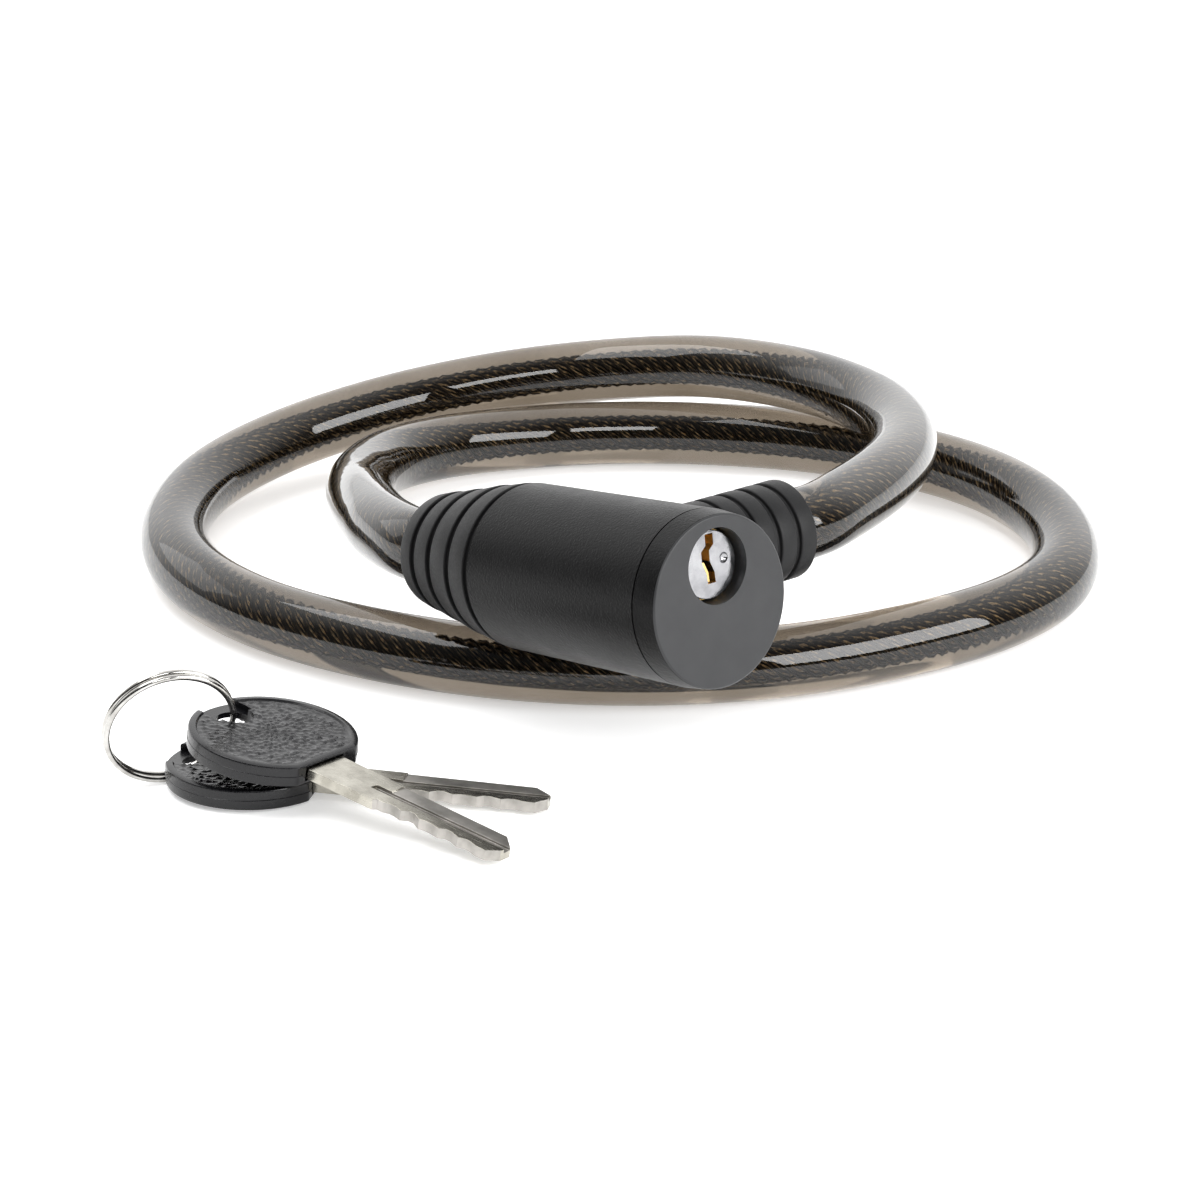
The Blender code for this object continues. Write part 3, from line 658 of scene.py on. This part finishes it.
def plug_boot():
    socket_r = CABLE_BORE + 0.5 * MM
    lip = PLUG_START + 0.7 * MM
    end_rib, rib_pitch = 4.4 * MM, 4.3 * MM
    grooves = [(PLUG_END - end_rib - rib_pitch * i, PLUG_R) for i in (3, 2, 1, 0)]
    outline = [
        (BOLT_R + GAP, PLUG_START),
        (PLUG_R, PLUG_START),
        (PLUG_R, grooves[0][0]),
        *ribs(grooves, 1.0 * MM, 0.75 * MM, PLUG_END, PLUG_R),
        (CABLE_BORE, PLUG_END),
        (CABLE_BORE, SOCKET_MOUTH),
        (socket_r + GAP, SOCKET_MOUTH),
        (socket_r + GAP, lip),
        (BOLT_R + GAP, lip),
    ]
    skin = turned("plug_boot_skin", rounded(outline, 0.4 * MM))
    boot = put("plug_boot_skin", skin, RUBBER, BOLT)
    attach(boot, "plug")
    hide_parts("plug_boot")
    return boot


body_boot()
plug_skin = plug_boot()


# Barrel, end cap and cylinder

RECESS_R = 5.9 * MM
RIM_FROM = 13.1 * MM


def barrel():
    bore, front, back = INNER_R + GAP, CAP_DEPTH + GAP, BODY_LENGTH
    outline = [(bore, front), (BODY_R, front), (BODY_BACK_R, back), (bore, back)]
    hole_r, start, end = BOLT_R + GAP, 6 * MM, 15 * MM
    hole = turned("hole", [(0, start), (hole_r, start), (hole_r, end), (0, end)], 64)
    hole.transform(LOCK.inverted() @ BOLT)
    skin = carve(turned("barrel_skin", behind(outline), 128), [hole], 0.15 * MM)
    shell = put("barrel_skin", skin, BARREL, LOCK)
    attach(shell, "lock_body")
    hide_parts("barrel_shell")


def end_cap():
    """A flat grey face with the key's recess. Its rim takes the barrel's darker colour as painted shade."""
    outline = [
        (0, 0),
        (13.12 * MM, 0),
        (13.4 * MM, 0.28 * MM),
        (13.76 * MM, CAP_DEPTH),
        (INNER_R, CAP_DEPTH),
        (INNER_R, CAP_DEPTH + 2.0 * MM),
        (0, CAP_DEPTH + 2.0 * MM),
    ]
    face = turned("end_cap_skin", behind(rounded(outline, 0.12 * MM)), 128)
    hole = plate("hole", disc_outline(RECESS_R, (0.0, CYLINDER_RISE), 72), -9 * MM, OVERCUT)
    skin = carve(face, [hole], 0.15 * MM)
    cap = put("end_cap_skin", skin, CAP, LOCK)
    # The side band of the cap takes the barrel's darker colour: painted shade.
    skin.materials.append(BARREL)
    for side in skin.polygons:
        rim = abs(side.normal.z) < 0.5 and math.hypot(side.center.x, side.center.y) > RIM_FROM
        side.material_index = int(rim)
    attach(cap, "lock_body")
    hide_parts("key_end_cap")


WAFERS = 5
FIRST_WAFER = 6.0
WAFER_PITCH = 2.8
WAFER_HALF = 0.65 * MM


def cylinder_face():
    """The turning cylinder: bright face with keyway and index mark, brass inside it, its ward and crank pin."""
    face_r, rotor_r, tail_r, neck_r = 5.3 * MM, 4.6 * MM, 3.0 * MM, 2.3 * MM
    outline = [
        (0, 1.8 * MM),
        (face_r, 1.8 * MM),
        (face_r, 3.2 * MM),
        (rotor_r, 3.2 * MM),
        (rotor_r, 19.6 * MM),
        (tail_r, 19.6 * MM),
        (tail_r, 20.2 * MM),
        (neck_r, 20.2 * MM),
        (neck_r, 21.3 * MM),
        (tail_r, 21.3 * MM),
        (tail_r, 22.0 * MM),
        (0, 22.0 * MM),
    ]
    bends = ((0.25, 4.75), (0.25, 3.0), (-0.7, 2.2), (-0.7, 0.5), (0.1, -1.3), (0.2, -2.9))
    half = 0.8 * MM
    keyway = [(x * MM + half, y * MM) for x, y in bends]
    keyway += [(x * MM - half, y * MM) for x, y in reversed(bends)]
    cutters = [plate("keyway", keyway, -18.6 * MM, 0.0)]
    window = box_outline(-2.8 * MM, 2.8 * MM, -5.6 * MM, 5.6 * MM)
    for i in range(WAFERS):
        place = (FIRST_WAFER + WAFER_PITCH * i) * MM
        cutters.append(plate("slot", window, -place - WAFER_HALF, WAFER_HALF - place))
    dimple = bmesh.new()
    bmesh.ops.create_uvsphere(dimple, u_segments=24, v_segments=14, radius=0.95 * MM)
    bmesh.ops.translate(dimple, verts=dimple.verts, vec=(2.9 * MM, 0.5 * MM, -1.4 * MM))
    cutters.append(finish(dimple, "dimple"))
    mesh = carve(turned("cylinder_face", behind(rounded(outline, 0.2 * MM)), 72), cutters, 0.08 * MM)
    mesh.materials.clear()
    rotor = put("cylinder_face", mesh, CHROME, CYLINDER)
    mesh.materials.append(BRASS)
    for face in mesh.polygons:
        inside = math.hypot(face.center.x, face.center.y) < 5.0 * MM and abs(face.normal.z) < 0.5
        face.material_index = int(inside and -18.7 * MM < face.center.z < -2.1 * MM)
    pin_r, pin_end, pin_root = 0.9 * MM, -23.9 * MM, -21.9 * MM
    crank_r, angle = 2.0 * MM, math.radians(45)
    pin_outline = [(0, pin_end), (pin_r, pin_end), (pin_r, pin_root), (0, pin_root)]
    crank = turned("crank", rounded(pin_outline, 0.2 * MM), 24)
    crank.transform(Matrix.Translation((crank_r * math.cos(angle), crank_r * math.sin(angle), 0)))
    pin = put("crank_pin", crank, STEEL, CYLINDER)
    ward_bends, ward_width = ((-1.1, 0.4), (-0.35, -1.3), (-0.25, -2.8)), 0.5 * MM
    ward = [(x * MM + ward_width, y * MM) for x, y in ward_bends]
    ward += [(x * MM, y * MM) for x, y in reversed(ward_bends)]
    ward_mesh = carve(plate("ward", ward, -18 * MM, -2.3 * MM), [], 0.08 * MM)
    rib = put("keyway_ward", ward_mesh, BRASS, CYLINDER)
    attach(rib, "cylinder")
    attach(rotor, "cylinder")
    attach(pin, "cylinder")
    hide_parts("cylinder_rotor")


barrel()
end_cap()
cylinder_face()


# Keys and ring

HEAD_R = 13.1 * MM
HEAD_FLAT = 11.3 * MM
HEAD_HALF = 1.65 * MM
HEAD_RIM = 1.15 * MM
HEAD_SINK = 0.25 * MM
EYE_AT = 8.0 * MM
GRAIN_RINGS = 42
GRAIN_DEPTH = 0.34 * MM
GRAIN_SIZE = 0.95 * MM
BLADE_HALF = 0.85 * MM
HEAD_STEPS = 216


def head_outline():
    corner = math.acos(HEAD_FLAT / HEAD_R)
    steps = HEAD_STEPS * 5 // 6
    round_side = [corner + (2 * math.pi - 2 * corner) * i / steps for i in range(steps + 1)]
    points = [Vector((HEAD_R * math.cos(a), HEAD_R * math.sin(a))) for a in round_side]
    flat_steps = HEAD_STEPS - steps - 1
    last, first = points[-1], points[0]
    return points + [last.lerp(first, (i + 1) / (flat_steps + 1)) for i in range(flat_steps)]


def leather(point, seed):
    """Height of the moulded leather grain at a place: near 0 in the creases and near 1 on the crowns."""
    spot = Vector((point.x, point.y, seed)) / GRAIN_SIZE
    near = noise.voronoi(spot)[0]
    wander = noise.noise(spot * 0.6)
    return (near[1] - near[0]) * 0.9 + (1 - near[0]) * 0.35 + 0.2 * wander


def key_head(name, seed):
    """A round head with one straight side: grained panels inside a smooth raised rim, and a mould seam."""
    outline = head_outline()
    sides = [
        (HEAD_RIM + HEAD_SINK, HEAD_HALF - HEAD_SINK),
        (HEAD_RIM, HEAD_HALF),
        (0.42 * MM, HEAD_HALF),
        (0.12 * MM, HEAD_HALF - 0.13 * MM),
        (0.0, HEAD_HALF - 0.42 * MM),
        (0.0, 0.07 * MM),
        (-0.07 * MM, 0.0),
    ]
    edge = sides + [(inset, -height) for inset, height in reversed(sides[:-1])]
    bm = bmesh.new()
    rings = []
    for inset, height in edge:
        scale = 1 - inset / HEAD_R
        rings.append([bm.verts.new((p.x * scale, p.y * scale, height)) for p in outline])
    for upper, lower in zip(rings, rings[1:]):
        for j in range(HEAD_STEPS):
            k = (j + 1) % HEAD_STEPS
            bm.faces.new((upper[j], upper[k], lower[k], lower[j]))
    panel = 1 - (HEAD_RIM + HEAD_SINK) / HEAD_R
    for side, outer in ((1, rings[0]), (-1, rings[-1])):
        level = side * (HEAD_HALF - HEAD_SINK)
        before = outer
        for i in range(1, GRAIN_RINGS):
            scale = panel * (1 - i / GRAIN_RINGS)
            ring = []
            for p in outline:
                spot = p * scale
                fade = min(1.0, i / 3)
                height = level + side * fade * GRAIN_DEPTH * (leather(spot, seed + side) - 0.4)
                ring.append(bm.verts.new((spot.x, spot.y, height)))
            for j in range(HEAD_STEPS):
                k = (j + 1) % HEAD_STEPS
                bm.faces.new((before[j], before[k], ring[k], ring[j]))
            before = ring
        bm.faces.new(before)
    bmesh.ops.translate(bm, verts=bm.verts, vec=(EYE_AT, 0, 0))
    head = finish(bm, name)
    cutters = [plate("eye", disc_outline(2.9 * MM, steps=40), -3 * MM, 3 * MM)]
    notch = box_outline(-16 * MM, 0, -3.8 * MM, 3.8 * MM)
    cutters.append(plate("notch", notch, HEAD_HALF - 1.2 * MM, 3 * MM))
    cutters.append(plate("notch", notch, -3 * MM, 1.2 * MM - HEAD_HALF))
    slot = box_outline(12.5 * MM, 20.3 * MM, -4.9 * MM, 3.5 * MM)
    cutters.append(plate("slot", slot, -1.15 * MM, 1.15 * MM))
    return carve(head, cutters)


def blade_outline():
    """Tang, shoulder, five cuts along one edge and a pointed tip."""
    edge, root, back, tip = 4.0, 4.6, 3.2, 47.6
    outline = [(4.8, -root), (24.4, -root), (24.9, -edge)]
    for place, depth in ((27.6, 0.4), (31.0, 0.9), (34.6, 0.3), (38.4, 0.7), (42.2, 0.5)):
        outline += [(place - 1.5, -edge), (place - 0.5, depth - edge), (place + 0.5, depth - edge)]
    outline += [
        (tip - 3.4, -edge),
        (tip - 1.6, -edge),
        (tip, -2.2),
        (tip, 0.0),
        (tip - 2.8, back - 0.6),
        (4.8, back),
    ]
    return [(x * MM + EYE_AT, y * MM) for x, y in outline]


def key_blade(name):
    half = BLADE_HALF
    blade = plate(name, blade_outline(), -half, half)
    start, end = EYE_AT + 21.4 * MM, EYE_AT + 49.0 * MM
    upper = plate("groove", box_outline(start, end, -1.5 * MM, -0.1 * MM), half - 0.6 * MM, 2 * MM)
    lower = plate("groove", box_outline(start, end, 0.7 * MM, 2.1 * MM), -2 * MM, 0.6 * MM - half)
    step = plate("step", box_outline(start + 3 * MM, end, -0.2 * MM, 4 * MM), half - 0.22 * MM, 2 * MM)
    under = plate("step", box_outline(start + 3 * MM, end, 0.9 * MM, 4 * MM), -2 * MM, 0.22 * MM - half)
    mesh = carve(blade, [upper, lower, step, under], 0.08 * MM)
    mesh.materials.clear()
    mesh.materials.append(NICKEL)
    mesh.materials.append(MILLED)
    for face in mesh.polygons:
        flat = abs(face.normal.z) > 0.9 and face.center.x > start + 1 * MM
        milled = flat and abs(face.center.z) < half - 0.1 * MM
        cut = face.normal.y < -0.5 and face.center.x > EYE_AT + 24.6 * MM
        face.material_index = int(milled or cut)
    return mesh


def key(name, place, turn, seed):
    """One key: its place in millimetres and its turns about X, Y and Z in degrees."""
    stand = Matrix.Translation(SITE + Vector(place) * MM)
    x, y, z = (math.radians(angle) for angle in turn)
    stand = stand @ Matrix.Rotation(z, 4, "Z") @ Matrix.Rotation(y, 4, "Y") @ Matrix.Rotation(x, 4, "X")
    head = put(f"{name}_grip", key_head(f"{name}_grip", seed), KEY_BLACK, stand)
    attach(head, name)
    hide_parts(f"{name}_head")
    blade = put(f"{name}_bit", key_blade(f"{name}_bit"), None, stand)
    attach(blade, name)
    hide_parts(f"{name}_blade")


def ring():
    """Two turns of polished wire that step over from the first layer to the second."""
    pitch, ring_r = 1.15 * MM, 10.0 * MM
    line = []
    for degrees in range(20, 701, 4):
        over = min(max((degrees - 345) / 30, 0.0), 1.0)
        over = over * over * (3 - 2 * over)
        angle = math.radians(degrees)
        line.append(Vector((ring_r * math.cos(angle), ring_r * math.sin(angle), (over - 0.5) * pitch)))
    mesh, _ = tube("ring_wire", line, 16, lambda angle: 0.5 * MM, 1.0)
    stand = Matrix.Translation(SITE + Vector((-65.9, -88.7, 10.1)) * MM)
    stand = stand @ Matrix.Rotation(math.radians(19.8), 4, "Z") @ Matrix.Rotation(math.radians(-70.6), 4, "X")
    wire = put("ring_wire", mesh, RING_STEEL, stand)
    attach(wire, "key_ring")
    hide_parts("split_ring")


key("key_a", (-56.35, -84.05, 8.93), (-1.8, 7.6, -38.5), 3.0)
key("key_b", (-61.7, -84.6, 2.24), (0.0, 1.0, -12.6), 9.0)
ring()


# Finishes of the CAD parts that stay as they are

def repaint():
    looks = {
        "lock_housing": ZINC,
        "body_ferrule": STEEL,
        "ferrule_pin": STEEL,
        "locking_slider": STEEL,
        "plug_bolt": STEEL,
        "rotor_clip": SPRING,
        "cylinder_sleeve": BRASS,
    }
    for name, node in NODES.items():
        look = looks.get(name) or (SPRING if "spring" in name else BRASS)
        if node.hide_render:
            continue
        for slot in node.material_slots:
            slot.material = look


repaint()


# Floor and light

def floor():
    mesh = plate("floor", disc_outline(3.0, (0.03, 0.07), 96), -0.02, -0.0002)
    ground = bpy.data.objects.new("floor", mesh)
    bpy.context.scene.collection.objects.link(ground)
    look = Look("floor", Roughness=0.9)
    look.shader.inputs["Base Color"].default_value = (0.92, 0.92, 0.92, 1.0)
    look.shader.inputs["Emission Color"].default_value = (1.0, 1.0, 1.0, 1.0)
    look.shader.inputs["Emission Strength"].default_value = 0.4
    mesh.materials.append(look.material)


def softbox(name, place, target, size, power):
    data = bpy.data.lights.new(name, "AREA")
    data.shape = "RECTANGLE"
    data.size, data.size_y = size
    data.energy = power
    lamp = bpy.data.objects.new(name, data)
    bpy.context.scene.collection.objects.link(lamp)
    lamp.location = place
    aim = (Vector(target) - Vector(place)).to_track_quat("-Z", "Y")
    lamp.rotation_euler = aim.to_euler()


def lights():
    middle = (0.03, 0.07, 0.01)
    softbox("top", (-0.45, 0.05, 1.05), middle, (1.0, 0.55), 6.0)
    softbox("left", (-1.0, 0.8, 0.5), middle, (0.8, 0.5), 1.0)
    softbox("right", (0.93, -0.5, 0.45), middle, (1.0, 0.6), 15.0)
    softbox("front", (0.22, -1.0, 0.75), middle, (0.5, 0.3), 4.0)
    world = bpy.data.worlds.new("studio")
    bpy.context.scene.world = world
    world.use_nodes = True
    tree = world.node_tree
    background = tree.nodes["Background"]
    background.inputs["Strength"].default_value = 1.6
    coordinates = tree.nodes.new("ShaderNodeTexCoord")
    towards = tree.nodes.new("ShaderNodeVectorMath")
    towards.operation = "DOT_PRODUCT"
    towards.inputs[1].default_value = (0.0, 0.75, 0.66)
    span = tree.nodes.new("ShaderNodeMapRange")
    span.inputs["From Min"].default_value = -0.55
    span.inputs["From Max"].default_value = 0.85
    ramp = tree.nodes.new("ShaderNodeValToRGB")
    tree.links.new(coordinates.outputs["Generated"], towards.inputs[0])
    tree.links.new(towards.outputs["Value"], span.inputs["Value"])
    tree.links.new(span.outputs["Result"], ramp.inputs[0])
    tree.links.new(ramp.outputs["Color"], background.inputs["Color"])
    ramp.color_ramp.elements[0].color = (0.01, 0.01, 0.0105, 1.0)
    ramp.color_ramp.elements[1].color = (1.0, 1.0, 1.0, 1.0)
    ramp.color_ramp.elements.new(0.5).color = (0.1, 0.1, 0.1, 1.0)
    bpy.context.scene.view_settings.view_transform = "Standard"


floor()
lights()
